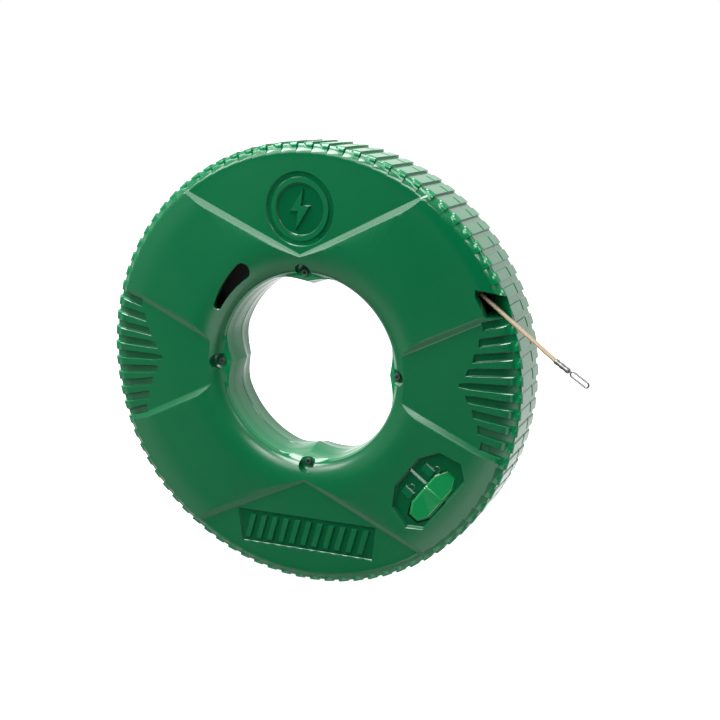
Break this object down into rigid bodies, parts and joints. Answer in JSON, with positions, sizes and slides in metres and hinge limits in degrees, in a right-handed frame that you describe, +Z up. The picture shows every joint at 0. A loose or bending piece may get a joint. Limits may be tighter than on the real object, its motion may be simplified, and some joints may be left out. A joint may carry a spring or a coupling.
{
  "type": "fish tape reel",
  "caption": "Round two-shell reel with a large hand hole, a drum of stiff tape inside, a tape port with pulling eye at the rim and a two-way lock rocker.",
  "frame": {"origin": "on the reel's axis, midway between the case's two faces", "axes": "+Y along the reel's axis, out of the rear face, so the front face with the lock looks along -Y; +Z up; the tape leaves the port at the upper right towards +X"},
  "size_m": [0.3787, 0.0675, 0.33],
  "materials": {
    "case_green": "moulded impact-resistant plastic with a fine satin grain",
    "rocker_green": "smooth glossy moulded plastic",
    "drum_black": "black moulded plastic",
    "acetal": "black acetal",
    "screw_steel": "black oxide",
    "bright_steel": "bright plated steel",
    "glass_fibre": "pultruded glass fibre rod with a clear resin skin"
  },
  "bodies": {
    "case": {"front_shell": "case_green", "rear_shell": "case_green", "case_screw_1": "screw_steel", "case_screw_2": "screw_steel", "case_screw_3": "screw_steel", "case_screw_4": "screw_steel", "front_glide_ring": "acetal", "rear_glide_ring": "acetal", "tape_guide": "drum_black", "rocker_pin": "bright_steel", "plunger_bracket": "bright_steel", "plunger_spring": "bright_steel", "detent_leaf": "bright_steel"},
    "drum": {"drum_hub": "drum_black", "drum_front_flange": "drum_black", "drum_rear_flange": "drum_black", "tape_coil": "glass_fibre", "tape_anchor_clip": "bright_steel"},
    "rocker": {"lock_rocker": "rocker_green"},
    "plunger": {"lock_plunger": "bright_steel"},
    "leader": {"tape_run": "glass_fibre", "leader_ferrule": "bright_steel", "leader_eye": "bright_steel"}
  },
  "joints": [
    {"name": "drum_spin", "type": "hinge", "parent": "case", "child": "drum", "pos_m": [0, 0, 0], "axis": [0, 1, 0], "continuous": true},
    {"name": "rocker_tilt", "type": "hinge", "parent": "case", "child": "rocker", "pos_m": [0.10402, -0.0195, -0.08127], "axis": [0.788, 0, -0.6157], "range_deg": [0, 12]},
    {"name": "plunger_slide", "type": "slide", "parent": "case", "child": "plunger", "axis": [0, 1, 0], "range_m": [0, 0.003], "deforming": ["plunger_spring"]},
    {"name": "tape_payout", "type": "slide", "parent": "case", "child": "leader", "axis": [0.8038, -0.2605, -0.5348], "range_m": [0, 0.05]}
  ],
  "couplings": [
    {"joint": "plunger_slide", "follows": "rocker_tilt", "m_per_rad": 0.014}
  ]
}
